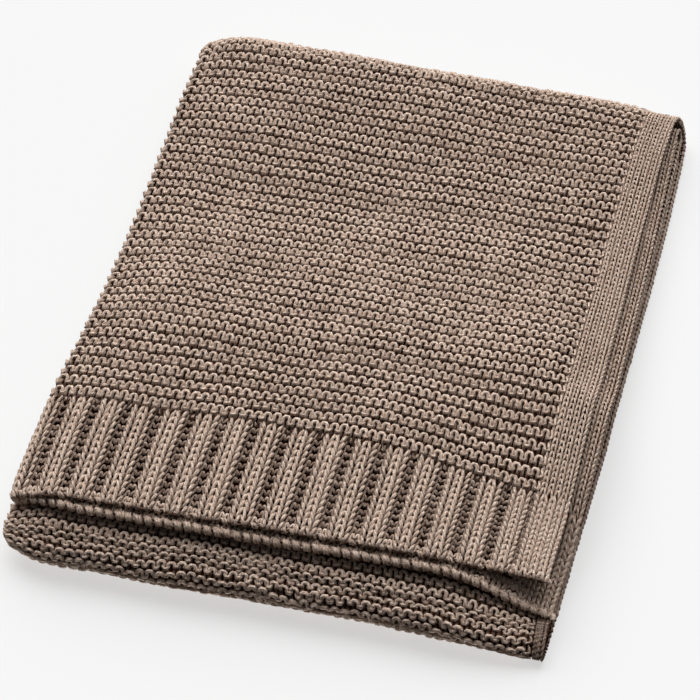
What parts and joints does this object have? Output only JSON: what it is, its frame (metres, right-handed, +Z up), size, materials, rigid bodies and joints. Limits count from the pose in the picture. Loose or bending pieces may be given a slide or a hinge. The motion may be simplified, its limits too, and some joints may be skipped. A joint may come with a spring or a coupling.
{
  "type": "folded knit baby blanket",
  "caption": "Chunky knit baby blanket in garter stitch with ribbed end bands and smooth knit side borders, folded into a soft flat stack.",
  "frame": {"origin": "on the resting surface, below the middle of the folded stack's bounding box", "axes": "+Z up; -Y is the front, where the ribbed hems lie above the rolled fold; -X is the lengthwise fold, at the left"},
  "size_m": [0.4192, 0.537, 0.0642],
  "materials": {
    "yarn": "matte heathered taupe knitting yarn"
  },
  "bodies": {
    "root": {"blanket": "yarn"}
  },
  "joints": []
}
